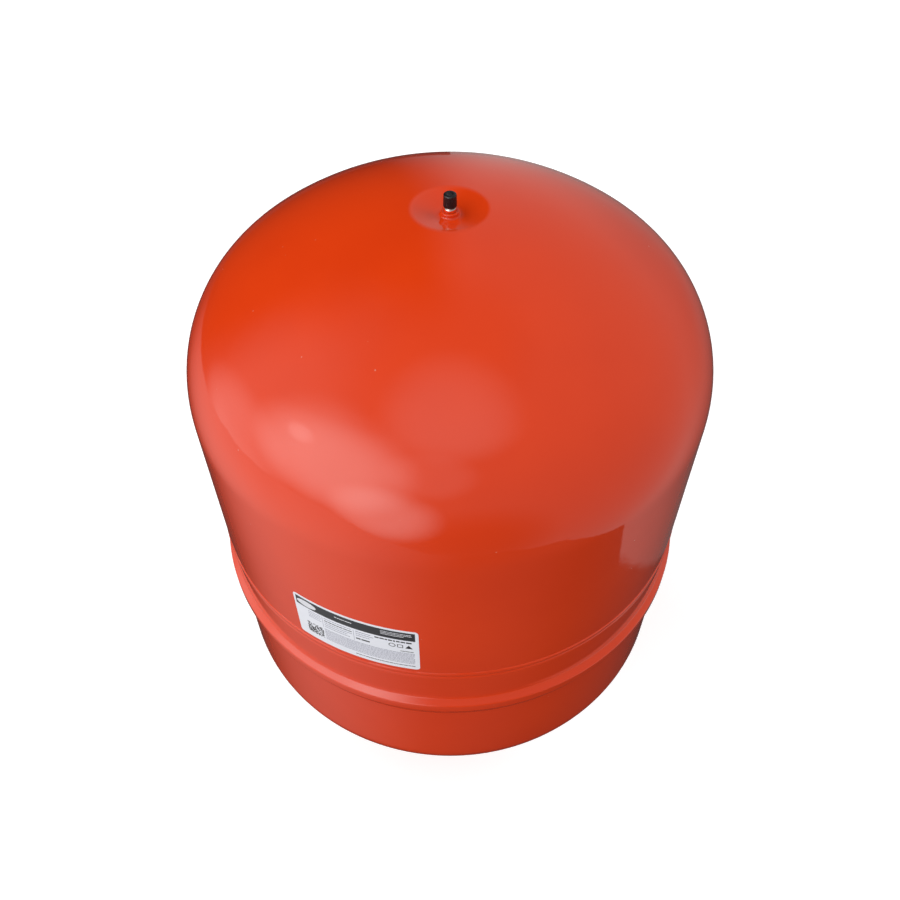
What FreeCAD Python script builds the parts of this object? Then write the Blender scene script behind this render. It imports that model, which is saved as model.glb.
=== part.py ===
"""Fixed-diaphragm expansion vessel, 50 litre class, standing on three legs.

Millimetres, +Z up. The origin is on the floor, on the vessel's axis.
The water connection is at the bottom and the air valve in the dimple on top.
"""
import FreeCAD
import Part

import math
import os

from FreeCAD import Vector

# Pressed steel body
BODY_RADIUS = 198.5
SHEET = 1.5
CROWN_RADIUS = 260.0
UPPER_KNUCKLE = 102.0
LOWER_KNUCKLE = 40.0
UPPER_CYLINDER = 176.5
LOWER_CYLINDER = 79.0
FLOOR_GAP = 72.0

# Rolled bead, which holds the diaphragm
BEAD_DEPTH = 4.5
BEAD_SLOPE = 12.4
BEAD_CREST = 8.0
BEAD_SHOULDER = 5.6
BEAD_CORNER = 3.0

# Lap joint and weld between the two shells
SEAM_ABOVE_BEAD = 38.0
LIP_LENGTH = 9.0
JOGGLE_HEIGHT = 2.0
LIP_CLEARANCE = 0.05
WELD_WIDTH = 5.0
WELD_CROWN = 0.6

# Dimple for the air valve
DIMPLE_RADIUS = 26.0
DIMPLE_FLOOR_RADIUS = 10.0
DIMPLE_DEPTH = 6.1
DIMPLE_FLOOR_BLEND = 16.0
DIMPLE_RIM_BLEND = 6.0

# Rubber diaphragm and its clamping ring
RUBBER = 2.0
RUBBER_GAP = 0.8
DIAPHRAGM_CROWN_RADIUS = 110.0
RIM_BULB = 3.6
RIM_TOP = 287.0
RIM_BOTTOM = 260.0
RING = 2.0
RING_GROOVE = 1.6

# Water connection, G 3/4 male
THREAD_RADIUS = 13.22
THREAD_LENGTH = 20.0
NIPPLE_BORE = 9.5
COLLAR_RADIUS = 15.5
COLLAR_LENGTH = 6.0
COLLAR_INSIDE = 2.0
GUARD_RADIUS = 12.0
GUARD_THICKNESS = 1.5
GUARD_HOLE = 2.2
GUARD_CIRCLE = 6.4

# Air valve and cap, 8V1 thread
BOSS_RADIUS = 6.3
BOSS_HEIGHT = 3.2
STEM_RADIUS = 3.85
STEM_SHOWING = 3.5
STEM_UNDER_CAP = 6.8
STEM_COLLAR = 4.3
STEM_BORE = 2.6
STEM_SEAT_BORE = 1.9
CAP_HEIGHT = 9.1
CAP_BASE_RADIUS = 4.65
CAP_TOP_RADIUS = 4.35
CAP_ROUNDING = 1.2
CAP_BORE = 3.92
CAP_SEAL_HEIGHT = 0.9
CAP_GROOVES = 20
CAP_GROOVE_DEPTH = 0.2

# Valve core
PIN_RADIUS = 0.5
PIN_GUIDE = 0.56
CORE_BORE = 1.35
CORE_NECK = 1.6
CORE_DEPTH = 9.0
CUP_RADIUS = 1.5
SPRING_RADIUS = 0.98
SPRING_WIRE = 0.14
SPRING_TURNS = 6
AIR_WAY = 0.35
AIR_WAY_OFFSET = 1.05

# Legs, bent from strip
LEG_STRIP = 3.0
LEG_WIDTH = 48.0
LEG_INNER_RADIUS = 120.5
LEG_REACH = 150.0
LEG_BEND = 7.0
LEG_CORNER = 12.0
LEG_AZIMUTHS = (90.0, 210.0, 330.0)
LEG_HOLE_CIRCLE = 137.5
LEG_HOLE = 4.5
LEG_WELD = 2.4

# Data label
LABEL_WIDTH = 98.4
LABEL_HEIGHT = 54.4
LABEL_THICKNESS = 0.2
LABEL_CORNER = 3.0
LABEL_CENTRE = 356.8
LABEL_AZIMUTH = 249.45

CLEARANCE = 0.05
UP = Vector(0, 0, 1)
AXIS = Vector(0, 0, 0)


def crown_offset(knuckle):
    """Distance from an end's tangent plane to the centre of its crown."""
    return math.sqrt((CROWN_RADIUS - knuckle) ** 2 - (BODY_RADIUS - knuckle) ** 2)


# Heights of the vessel's features
LOWER_CENTRE = FLOOR_GAP + CROWN_RADIUS
LOWER_TANGENT = LOWER_CENTRE - crown_offset(LOWER_KNUCKLE)
BEAD_BOTTOM = LOWER_TANGENT + LOWER_CYLINDER
CREST_BOTTOM = BEAD_BOTTOM + BEAD_SLOPE
CREST_TOP = CREST_BOTTOM + BEAD_CREST
BEAD_TOP = CREST_TOP + BEAD_SHOULDER
SEAM = BEAD_TOP + SEAM_ABOVE_BEAD
UPPER_TANGENT = BEAD_TOP + UPPER_CYLINDER
UPPER_CENTRE = UPPER_TANGENT - crown_offset(UPPER_KNUCKLE)
DIMPLE_FLOOR = UPPER_CENTRE + CROWN_RADIUS - DIMPLE_DEPTH
BOSS_TOP = DIMPLE_FLOOR + BOSS_HEIGHT
CAP_BOTTOM = BOSS_TOP + STEM_SHOWING
STEM_TOP = CAP_BOTTOM + STEM_UNDER_CAP
CORE_SEAT = STEM_TOP - CORE_DEPTH
COLLAR_TOP = FLOOR_GAP + COLLAR_INSIDE


def at(radius, height):
    """Point of a meridian, in the X-Z plane."""
    return Vector(radius, 0, height)


def line(start, end):
    return Part.LineSegment(start, end).toShape()


def arc(start, middle, end):
    return Part.Arc(start, middle, end).toShape()


def rounded(points, corner):
    """Edges from point to point, with every inner corner rounded."""
    vertices = [at(*point) for point in points]
    edges = []
    start = vertices[0]
    for before, vertex, after in zip(vertices, vertices[1:], vertices[2:]):
        arriving = (vertex - before).normalize()
        leaving = (after - vertex).normalize()
        half_turn = arriving.getAngle(leaving) / 2
        reach = corner * math.tan(half_turn)
        inward = (leaving - arriving).normalize()
        middle = vertex + inward * (corner / math.cos(half_turn) - corner)
        first = vertex - arriving * reach
        last = vertex + leaving * reach
        edges.append(line(start, first))
        edges.append(arc(first, middle, last))
        start = last
    edges.append(line(start, vertices[-1]))
    return edges


def dome(knuckle, tangent, up, inset=0.0, inner_radius=0.0):
    """Crown and knuckle arcs of an end, from inner_radius out to the cylinder.

    up is 1 for the upper end and -1 for the lower; inset moves the outline inwards.
    """
    centre = tangent - up * crown_offset(knuckle)
    reach = BODY_RADIUS - knuckle
    join = math.asin(reach / (CROWN_RADIUS - knuckle))
    crown = CROWN_RADIUS - inset
    corner = knuckle - inset

    def on_crown(angle):
        return at(crown * math.sin(angle), centre + up * crown * math.cos(angle))

    def on_knuckle(angle):
        return at(reach + corner * math.sin(angle), tangent + up * corner * math.cos(angle))

    start = math.asin(inner_radius / crown)
    quarter = math.pi / 2
    return [
        arc(on_crown(start), on_crown((start + join) / 2), on_crown(join)),
        arc(on_crown(join), on_knuckle((join + quarter) / 2), on_knuckle(quarter)),
    ]


def revolve(face):
    return face.revolve(AXIS, UP, 360)


def turned(points):
    """Solid of revolution of a closed polygon of (radius, height) points."""
    vertices = [at(*point) for point in points]
    return revolve(Part.Face(Part.makePolygon(vertices + vertices[:1])))


def pressed(edges, thickness):
    """Solid of revolution of sheet that follows the outline on its outer side."""
    outline = Part.Wire(edges)
    return revolve(outline.makeOffset2D(thickness, 2, True, True))


def drill(radius, bottom, top, x=0.0, y=0.0):
    return Part.makeCylinder(radius, top - bottom, Vector(x, y, bottom), UP)


def circle_edges(shape, radius):
    """Circular edges of the given radius that lie level round the axis."""
    edges = [edge for edge in shape.Edges if isinstance(edge.Curve, Part.Circle)]
    return [edge for edge in edges if abs(edge.Curve.Radius - radius) < 0.01]


def upper_shell():
    crown_edge = UPPER_CENTRE + math.sqrt(CROWN_RADIUS ** 2 - DIMPLE_RADIUS ** 2)
    lip = BODY_RADIUS - SHEET - LIP_CLEARANCE
    dimple = [(0, DIMPLE_FLOOR), (DIMPLE_FLOOR_RADIUS, DIMPLE_FLOOR), (DIMPLE_RADIUS, crown_edge)]
    side = [
        (BODY_RADIUS, UPPER_TANGENT),
        (BODY_RADIUS, SEAM + JOGGLE_HEIGHT),
        (lip, SEAM + JOGGLE_HEIGHT - SHEET),
        (lip, SEAM - LIP_LENGTH),
    ]
    outline = rounded(dimple, DIMPLE_FLOOR_BLEND)
    outline += dome(UPPER_KNUCKLE, UPPER_TANGENT, 1, inner_radius=DIMPLE_RADIUS)
    outline += rounded(side, JOGGLE_HEIGHT)
    shell = pressed(outline, -SHEET)
    shell = shell.makeFillet(DIMPLE_RIM_BLEND, circle_edges(shell, DIMPLE_RADIUS))
    return shell.cut(drill(BOSS_RADIUS - SHEET + CLEARANCE, DIMPLE_FLOOR - 5, DIMPLE_FLOOR + 1))


def lower_shell():
    crest = BODY_RADIUS + BEAD_DEPTH
    side = [
        (BODY_RADIUS, LOWER_TANGENT),
        (BODY_RADIUS, BEAD_BOTTOM),
        (crest, CREST_BOTTOM),
        (crest, CREST_TOP),
        (BODY_RADIUS, BEAD_TOP),
        (BODY_RADIUS, SEAM),
    ]
    outline = dome(LOWER_KNUCKLE, LOWER_TANGENT, -1) + rounded(side, BEAD_CORNER)
    shell = pressed(outline, SHEET)
    return shell.cut(drill(COLLAR_RADIUS + CLEARANCE, FLOOR_GAP - 1, FLOOR_GAP + 5))


def seam_weld(shells):
    bottom = SEAM - WELD_WIDTH / 2 + JOGGLE_HEIGHT / 2
    top = bottom + WELD_WIDTH
    inner = BODY_RADIUS - SHEET
    section = [
        arc(at(BODY_RADIUS, bottom), at(BODY_RADIUS + WELD_CROWN, (bottom + top) / 2), at(BODY_RADIUS, top)),
        line(at(BODY_RADIUS, top), at(inner, top)),
        line(at(inner, top), at(inner, bottom)),
        line(at(inner, bottom), at(BODY_RADIUS, bottom)),
    ]
    return revolve(Part.Face(Part.Wire(section))).cut(shells)


def diaphragm_skin():
    """Rubber as it lies on the lower shell with no water in the vessel."""
    outer_inset = SHEET + RUBBER_GAP
    inner_inset = outer_inset + RUBBER
    outer = dome(LOWER_KNUCKLE, LOWER_TANGENT, -1, outer_inset)
    inner = dome(LOWER_KNUCKLE, LOWER_TANGENT, -1, inner_inset)
    outer_top = at(BODY_RADIUS - outer_inset, RIM_BOTTOM)
    inner_top = at(BODY_RADIUS - inner_inset, RIM_BOTTOM)
    ends = [
        line(at(BODY_RADIUS - outer_inset, LOWER_TANGENT), outer_top),
        line(outer_top, inner_top),
        line(inner_top, at(BODY_RADIUS - inner_inset, LOWER_TANGENT)),
        line(at(0, LOWER_CENTRE - CROWN_RADIUS + inner_inset), at(0, LOWER_CENTRE - CROWN_RADIUS + outer_inset)),
    ]
    return revolve(Part.Face(Part.Wire(Part.__sortEdges__(outer + inner + ends))))


def diaphragm_rim():
    """Rim with its bulb, squeezed between the shell and the clamping ring."""
    outer = BODY_RADIUS - SHEET - CLEARANCE
    inner = BODY_RADIUS - SHEET - RUBBER_GAP - RUBBER
    middle = (CREST_BOTTOM + CREST_TOP) / 2
    band = turned([(inner, RIM_BOTTOM), (outer, RIM_BOTTOM), (outer, RIM_TOP), (inner, RIM_TOP)])
    bulb = Part.makeTorus(BODY_RADIUS - SHEET, RIM_BULB, Vector(0, 0, middle), UP)
    slack = drill(inner - RING_GROOVE / 2, RIM_BOTTOM, RIM_TOP)
    return band.fuse(bulb).cut(slack).removeSplitter()


def clamping_ring():
    outer = BODY_RADIUS - SHEET - RUBBER_GAP - RUBBER - 2 * CLEARANCE
    groove = outer - RING_GROOVE
    middle = (CREST_BOTTOM + CREST_TOP) / 2
    outline = [
        (outer, RIM_BOTTOM + 1),
        (outer, middle - 2 * RIM_BULB),
        (groove, middle - RIM_BULB),
        (groove, middle + RIM_BULB),
        (outer, middle + 2 * RIM_BULB),
        (outer, RIM_TOP + 1),
    ]
    return pressed(rounded(outline, 1.0), RING)


def water_nipple():
    collar_bottom = COLLAR_TOP - COLLAR_LENGTH
    end = collar_bottom - THREAD_LENGTH
    seat = COLLAR_TOP - GUARD_THICKNESS
    return turned([
        (NIPPLE_BORE, end),
        (THREAD_RADIUS - 1.5, end),
        (THREAD_RADIUS, end + 1.5),
        (THREAD_RADIUS, collar_bottom),
        (COLLAR_RADIUS, collar_bottom),
        (COLLAR_RADIUS, COLLAR_TOP),
        (GUARD_RADIUS + CLEARANCE, COLLAR_TOP),
        (GUARD_RADIUS + CLEARANCE, seat),
        (NIPPLE_BORE, seat),
    ])


def inlet_guard():
    """Plate with seven holes that keeps the diaphragm out of the nipple."""
    below = COLLAR_TOP - 5
    above = COLLAR_TOP + 5
    plate = drill(GUARD_RADIUS, COLLAR_TOP - GUARD_THICKNESS, COLLAR_TOP)
    plate = plate.cut(drill(GUARD_HOLE, below, above))
    for count in range(6):
        angle = math.radians(60 * count)
        x = GUARD_CIRCLE * math.cos(angle)
        y = GUARD_CIRCLE * math.sin(angle)
        plate = plate.cut(drill(GUARD_HOLE, below, above, x, y))
    return plate


def nipple_weld(shell):
    ring = turned([
        (COLLAR_RADIUS, FLOOR_GAP - 2.5),
        (COLLAR_RADIUS + 3.5, FLOOR_GAP + 1.4),
        (COLLAR_RADIUS, FLOOR_GAP + 1.4),
    ])
    return ring.cut(shell)


def valve_boss():
    """Bush welded into the dimple, with a recess for the stem's seal."""
    spigot = BOSS_RADIUS - SHEET
    bore = STEM_RADIUS + CLEARANCE
    return turned([
        (bore, DIMPLE_FLOOR - 2.5),
        (spigot, DIMPLE_FLOOR - 2.5),
        (spigot, DIMPLE_FLOOR),
        (BOSS_RADIUS, DIMPLE_FLOOR),
        (BOSS_RADIUS, BOSS_TOP - 0.6),
        (BOSS_RADIUS - 0.6, BOSS_TOP),
        (STEM_COLLAR, BOSS_TOP),
        (STEM_COLLAR, BOSS_TOP - 1),
        (bore, BOSS_TOP - 1),
    ])


def boss_weld():
    return turned([
        (BOSS_RADIUS, DIMPLE_FLOOR),
        (BOSS_RADIUS + 1.1, DIMPLE_FLOOR),
        (BOSS_RADIUS, DIMPLE_FLOOR + 1.1),
    ])


def stem_seal():
    outer = STEM_COLLAR - CLEARANCE
    inner = STEM_RADIUS + CLEARANCE
    return turned([(inner, BOSS_TOP - 1), (outer, BOSS_TOP - 1), (outer, BOSS_TOP), (inner, BOSS_TOP)])


def valve_stem():
    foot = DIMPLE_FLOOR - 3.5
    return turned([
        (STEM_SEAT_BORE, foot),
        (STEM_RADIUS, foot),
        (STEM_RADIUS, BOSS_TOP),
        (STEM_COLLAR, BOSS_TOP),
        (STEM_COLLAR, BOSS_TOP + 1.5),
        (STEM_RADIUS, BOSS_TOP + 1.5),
        (STEM_RADIUS, STEM_TOP - 0.5),
        (STEM_RADIUS - 0.5, STEM_TOP),
        (STEM_BORE, STEM_TOP),
        (STEM_BORE, CORE_SEAT),
        (STEM_SEAT_BORE, CORE_SEAT - 0.7),
    ])


def core_body():
    """Barrel of the valve core: screwed head with air ways, bore, ledge and neck."""
    outer = STEM_BORE - CLEARANCE
    head_top = STEM_TOP - 0.9
    neck_top = CORE_SEAT + 2
    ledge = CORE_SEAT + 1
    barrel = turned([
        (PIN_GUIDE, head_top),
        (outer, head_top),
        (outer, neck_top),
        (CORE_NECK, neck_top),
        (CORE_NECK, CORE_SEAT - 0.2),
        (CUP_RADIUS / 2, CORE_SEAT - 0.2),
        (CUP_RADIUS / 2, ledge),
        (CORE_BORE, ledge),
        (CORE_BORE, head_top - 1.5),
        (PIN_GUIDE, head_top - 1.5),
    ])
    for x in (-AIR_WAY_OFFSET, AIR_WAY_OFFSET):
        barrel = barrel.cut(drill(AIR_WAY, head_top - 2, head_top + 1, x))
    return barrel


def core_seal():
    inner = CORE_NECK + 0.02
    outer = STEM_BORE - 0.02
    top = CORE_SEAT + 2
    return turned([(inner, CORE_SEAT + 0.1), (outer, CORE_SEAT + 0.1), (outer, top), (inner, top)])


def core_pin():
    """Pin with its spring collar, and the riveted head that holds the cup."""
    tip = STEM_TOP - 0.3
    collar = STEM_TOP - 3.2
    cup_bottom = CORE_SEAT - 1.3
    return turned([
        (0, cup_bottom - 0.5),
        (0.8, cup_bottom - 0.5),
        (0.8, cup_bottom),
        (PIN_RADIUS, cup_bottom),
        (PIN_RADIUS, collar - 0.4),
        (SPRING_RADIUS + SPRING_WIRE, collar - 0.4),
        (SPRING_RADIUS + SPRING_WIRE, collar),
        (PIN_RADIUS, collar),
        (PIN_RADIUS, tip),
        (0, tip),
    ])


def core_cup():
    top = CORE_SEAT - 0.3
    inner = PIN_RADIUS + 0.02
    return turned([(inner, top - 1), (CUP_RADIUS, top - 1), (CUP_RADIUS, top), (inner, top)])


def core_spring():
    """Spring between the barrel's ledge and the pin's collar."""
    bottom = CORE_SEAT + 1 + SPRING_WIRE + 0.02
    top = STEM_TOP - 3.6 - SPRING_WIRE - 0.02
    height = top - bottom
    helix = Part.makeHelix(height / SPRING_TURNS, height, SPRING_RADIUS)
    wire = Part.Wire(Part.makeCircle(SPRING_WIRE, Vector(SPRING_RADIUS, 0, 0), Vector(0, 1, 0)))
    spring = Part.Wire(helix).makePipeShell([wire], True, True)
    spring.translate(Vector(0, 0, bottom))
    return spring


def valve_cap():
    cap = Part.makeCone(CAP_BASE_RADIUS, CAP_TOP_RADIUS, CAP_HEIGHT, Vector(0, 0, CAP_BOTTOM), UP)
    cap = cap.makeFillet(CAP_ROUNDING, circle_edges(cap, CAP_TOP_RADIUS))
    cap = cap.cut(drill(CAP_BORE, CAP_BOTTOM - 1, STEM_TOP + 0.2 + CAP_SEAL_HEIGHT))
    groove_radius = 0.3
    taper = CAP_BASE_RADIUS - CAP_TOP_RADIUS
    start = CAP_BASE_RADIUS + groove_radius - CAP_GROOVE_DEPTH
    for count in range(CAP_GROOVES):
        angle = 2 * math.pi * count / CAP_GROOVES
        outward = Vector(math.cos(angle), math.sin(angle), 0)
        foot = outward * start + Vector(0, 0, CAP_BOTTOM)
        along = UP * CAP_HEIGHT - outward * taper
        cap = cap.cut(Part.makeCylinder(groove_radius, CAP_HEIGHT - 1.5 * CAP_ROUNDING, foot, along))
    return cap


def cap_seal():
    return drill(CAP_BORE - 0.2, STEM_TOP + 0.2, STEM_TOP + 0.2 + CAP_SEAL_HEIGHT)


def label():
    inner = drill(BODY_RADIUS, LABEL_CENTRE - LABEL_HEIGHT, LABEL_CENTRE + LABEL_HEIGHT)
    outer = drill(BODY_RADIUS + LABEL_THICKNESS, LABEL_CENTRE - LABEL_HEIGHT, LABEL_CENTRE + LABEL_HEIGHT)
    corner = Vector(0, -LABEL_WIDTH / 2, LABEL_CENTRE - LABEL_HEIGHT / 2)
    plate = Part.makeBox(BODY_RADIUS + 10, LABEL_WIDTH, LABEL_HEIGHT, corner)
    corners = [edge for edge in plate.Edges if abs(edge.tangentAt(0).x) > 0.9]
    plate = plate.makeFillet(LABEL_CORNER, corners)
    sticker = plate.common(outer.cut(inner))
    sticker.rotate(AXIS, UP, LABEL_AZIMUTH)
    return sticker


def leg_strip():
    """Strip bent to a foot, a riser and a tab that follows the lower dome."""
    bend_centre_x = LEG_INNER_RADIUS + LEG_BEND
    bend_reach = CROWN_RADIUS + LEG_BEND
    bend_drop = math.sqrt(bend_reach ** 2 - bend_centre_x ** 2)
    bend_centre = at(bend_centre_x, LOWER_CENTRE - bend_drop)
    crown_centre = at(0, LOWER_CENTRE)
    towards_bend = (bend_centre - crown_centre).normalize()
    riser_top = bend_centre - Vector(LEG_BEND, 0, 0)
    tab_start = crown_centre + towards_bend * CROWN_RADIUS
    bisector = (Vector(-1, 0, 0) - towards_bend).normalize()

    def on_dome(radius):
        return at(radius, LOWER_CENTRE - math.sqrt(CROWN_RADIUS ** 2 - radius ** 2))

    tab_end = LEG_REACH + LEG_STRIP
    foot = [(tab_end, 0), (LEG_INNER_RADIUS, 0), (LEG_INNER_RADIUS, riser_top.z)]
    outline = rounded(foot, LEG_BEND)
    outline.append(arc(riser_top, bend_centre + bisector * LEG_BEND, tab_start))
    outline.append(arc(tab_start, on_dome((tab_start.x + tab_end) / 2), on_dome(tab_end)))
    return pressed(outline, -LEG_STRIP)


def leg(strip, azimuth):
    corner = Vector(LEG_INNER_RADIUS - 5, -LEG_WIDTH / 2, -1)
    block = Part.makeBox(LEG_REACH - LEG_INNER_RADIUS + 5, LEG_WIDTH, LOWER_TANGENT, corner)
    ends = [
        edge for edge in block.Edges
        if abs(edge.tangentAt(0).z) > 0.9 and edge.CenterOfMass.x > LEG_INNER_RADIUS
    ]
    block = block.makeFillet(LEG_CORNER, ends)
    leg_solid = strip.common(block).cut(drill(LEG_HOLE, -1, 2 * LEG_STRIP, LEG_HOLE_CIRCLE))
    leg_solid.rotate(AXIS, UP, azimuth)
    return leg_solid


def leg_welds(legs):
    """A bead along each side of every leg's tab, where it meets the dome."""
    lower_dome = Part.makeSphere(CROWN_RADIUS, Vector(0, 0, LOWER_CENTRE))
    side = LEG_WIDTH / 2
    reach = math.sqrt(CROWN_RADIUS ** 2 - side ** 2)
    start = math.asin((LEG_INNER_RADIUS + 2 * LEG_BEND) / reach)
    end = math.asin((LEG_REACH - LEG_CORNER) / reach)
    beads = []
    for azimuth in LEG_AZIMUTHS:
        for y in (-side, side):
            centre = Vector(0, y, LOWER_CENTRE)
            radial = Vector(math.sin(start), 0, -math.cos(start))
            along = Vector(math.cos(start), 0, math.sin(start))
            disc = Part.Face(Part.Wire(Part.makeCircle(LEG_WELD, centre + radial * reach, along)))
            bead = disc.revolve(centre, Vector(0, -1, 0), math.degrees(end - start))
            bead.rotate(AXIS, UP, azimuth)
            beads.append(bead.cut([lower_dome] + legs))
    return Part.makeCompound(beads)


def build():
    """Every sub-part, by the name of its node."""
    upper = upper_shell()
    lower = lower_shell()
    skin = diaphragm_skin()
    middle = drill(DIAPHRAGM_CROWN_RADIUS, 0, RIM_BOTTOM)
    strip = leg_strip()
    legs = [leg(strip, azimuth) for azimuth in LEG_AZIMUTHS]
    nodes = {
        "upper_shell": upper,
        "lower_shell": lower,
        "seam_weld": seam_weld([upper, lower]),
        "clamping_ring": clamping_ring(),
        "diaphragm_rim": diaphragm_rim(),
        "diaphragm_wall": skin.cut(middle),
        "diaphragm_crown": skin.common(middle),
        "water_nipple": water_nipple(),
        "nipple_weld": nipple_weld(lower),
        "inlet_guard": inlet_guard(),
        "valve_boss": valve_boss(),
        "boss_weld": boss_weld(),
        "stem_seal": stem_seal(),
        "valve_stem": valve_stem(),
        "core_body": core_body(),
        "core_seal": core_seal(),
        "core_pin": core_pin(),
        "core_cup": core_cup(),
        "core_spring": core_spring(),
        "valve_cap": valve_cap(),
        "cap_seal": cap_seal(),
        "label": label(),
        "leg_welds": leg_welds(legs),
    }
    for number, shape in enumerate(legs, 1):
        nodes["leg_%d" % number] = shape
    return nodes


def main():
    os.makedirs("parts", exist_ok=True)
    for name, shape in build().items():
        shape.exportStep("parts/%s.step" % name)
        box = shape.BoundBox
        print("%-16s %d solid(s), valid %s, %10.2f mm3, z %.2f to %.2f" % (
            name, len(shape.Solids), shape.isValid(), shape.Volume, box.ZMin, box.ZMax))


main()
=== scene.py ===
import math
import random

import bpy
from mathutils import Matrix, Vector, noise


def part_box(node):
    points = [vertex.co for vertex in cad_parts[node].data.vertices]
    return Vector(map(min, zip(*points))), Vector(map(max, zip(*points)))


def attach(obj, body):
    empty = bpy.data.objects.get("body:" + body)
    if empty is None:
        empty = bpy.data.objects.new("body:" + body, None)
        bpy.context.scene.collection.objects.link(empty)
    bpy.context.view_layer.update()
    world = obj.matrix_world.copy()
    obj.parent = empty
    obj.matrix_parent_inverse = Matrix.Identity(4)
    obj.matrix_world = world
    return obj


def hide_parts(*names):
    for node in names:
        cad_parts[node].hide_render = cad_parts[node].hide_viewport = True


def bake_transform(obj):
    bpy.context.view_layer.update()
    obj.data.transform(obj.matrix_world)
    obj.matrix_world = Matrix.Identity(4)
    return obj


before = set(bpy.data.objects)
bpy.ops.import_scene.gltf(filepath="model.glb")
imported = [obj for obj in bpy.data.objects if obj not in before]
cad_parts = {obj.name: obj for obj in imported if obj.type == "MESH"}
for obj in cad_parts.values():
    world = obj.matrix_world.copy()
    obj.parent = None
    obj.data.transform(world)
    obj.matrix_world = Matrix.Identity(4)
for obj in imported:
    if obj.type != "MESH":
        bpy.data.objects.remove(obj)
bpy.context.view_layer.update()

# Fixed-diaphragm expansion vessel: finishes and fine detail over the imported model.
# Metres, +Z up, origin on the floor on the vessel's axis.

# Clearance between pieces that seat in each other
FIT = 0.00005

# Pressed body
BODY_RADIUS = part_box("upper_shell")[1].x
SHEET = 0.0015
CROWN_RADIUS = 0.260
UPPER_KNUCKLE = 0.102
LOWER_KNUCKLE = 0.040
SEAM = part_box("lower_shell")[1].z
UPPER_TANGENT = SEAM + 0.1385
BEAD_TOP = SEAM - 0.038
BEAD_SHOULDER = 0.0056
BEAD_CREST = 0.008
BEAD_SLOPE = 0.0124
BEAD_DEPTH = 0.0045
BEAD_CORNER = 0.003
LOWER_TANGENT = BEAD_TOP - 0.105
LIP_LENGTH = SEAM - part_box("upper_shell")[0].z
LIP_RADIUS = BODY_RADIUS - SHEET - FIT
JOGGLE = 0.002
SKIN_WAVE = 0.0001
# Heights that the inner faces of each end look towards
UPPER_MIDDLE = UPPER_TANGENT - 0.125
LOWER_MIDDLE = LOWER_TANGENT + 0.22

# Dimple and air valve
BOSS_LOW, BOSS_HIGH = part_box("valve_boss")
BOSS_RADIUS = BOSS_HIGH.x
BOSS_TOP = BOSS_HIGH.z
DIMPLE_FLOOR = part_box("boss_weld")[0].z
DIMPLE_RADIUS = 0.026
DIMPLE_FLOOR_RADIUS = 0.010
DIMPLE_FLOOR_BLEND = 0.016
DIMPLE_RIM_BLEND = 0.012
DIMPLE_RIM_REACH = 0.0026
SEAL_SEAT_DEPTH = 0.001
STEM_RADIUS = 0.00385
STEM_COLLAR_HEIGHT = 0.0015
STEM_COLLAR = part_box("valve_stem")[1].x
STEM_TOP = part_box("valve_stem")[1].z
STEM_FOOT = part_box("valve_stem")[0].z
STEM_BORE = 0.0026
STEM_SEAT_BORE = 0.0019
STEM_PITCH = 0.000794
STEM_THREAD_DEPTH = 0.0004
CORE_SEAT = STEM_TOP - 0.009
CAP_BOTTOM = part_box("valve_cap")[0].z
CAP_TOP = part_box("valve_cap")[1].z
CAP_BASE_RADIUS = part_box("valve_cap")[1].x
CAP_TOP_RADIUS = 0.00435
CAP_BORE = 0.00392
CAP_GROOVES = 20

# Water connection
NIPPLE_LOW, NIPPLE_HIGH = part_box("water_nipple")
COLLAR_RADIUS = NIPPLE_HIGH.x
COLLAR_LENGTH = 0.006
THREAD_RADIUS = 0.01322
THREAD_PITCH = 0.001814
THREAD_DEPTH = 0.00105
NIPPLE_BORE = 0.0095
GUARD_RADIUS = 0.012
GUARD_THICKNESS = 0.0015

# Label
LABEL_LOW, LABEL_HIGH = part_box("label")
LABEL_WIDTH = 0.0984
LABEL_AZIMUTH = math.radians(249.45)
LABEL_CORNER = 0.003
# How far the film and the prints on it stand out from the body, and where the prints start
FILM = 0.00012
PRINT = 0.00014
OVERPRINT = 0.00016
PRINT_ROOT = FILM - 0.00002

# Legs
LEG_AZIMUTHS = (90, 210, 330)
LEG_WIDTH = 0.048
LEG_EDGE = 0.0004
LEG_WELD_START = 0.1345
LEG_WELD_END = 0.138
LEG_WELD_RADIUS = 0.0021

# Soft windows in the reflections: azimuth (0 = away from the camera, 90 = its right),
# elevation, full within, gone beyond (all in degrees), strength
WINDOWS = (
    (-131, 19, 0, 38, 2.9),
    (-156, -6, 0, 24, 2.1),
    (-172, 28, 8, 20, 0.5),
    (180, 62, 0, 27, 0.8),
    (-94, -6, 0, 29, 1.0),
    (-98, 28, 0, 36, 0.35),
    (-114, 26, 0, 7, 1.2),
)
# Share of their light that diffuse surfaces get
WINDOW_FILL = 0.46
# Darker parts of the room, in the same terms: the strength is the share of light they take
SHADES = (
    (40, -20, 0, 38, 0.5),
    (25, -55, 0, 45, 0.75),
    (170, -25, 0, 32, 0.7),
)
# Lamps that don't show in the gloss: name, place, diameter, power
SOFTBOXES = (
    ("overhead", (-1.3, 0.3, 1.9), 1.6, 15),
    ("fill_right", (1.6, 0.4, 1.5), 1.6, 13),
    ("fill_front", (0.9, -1.8, 0.5), 1.2, 3.5),
    ("fill_back", (0.3, 2.3, 0.15), 1.2, 5),
)
FLOOR_SIZE = 6
FLOOR_GLOW = 0.45
# Light of the plain room at the sides and straight up, and the grey behind the object
ROOM_SIDE = 0.44
ROOM_TOP = 0.28
BACKDROP = 0.97
# Edge of the ground in the reflections: bearings (0 = towards the camera, 90 = right)
# over which it changes, and by how much, from its height at the left
HORIZON_LEFT = -0.24
HORIZON_CHANGES = (
    (-55, 0, -0.36),
    (30, 80, -0.165),
    (84, 92, -0.05),
    (110, 170, 0.02),
)

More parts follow.
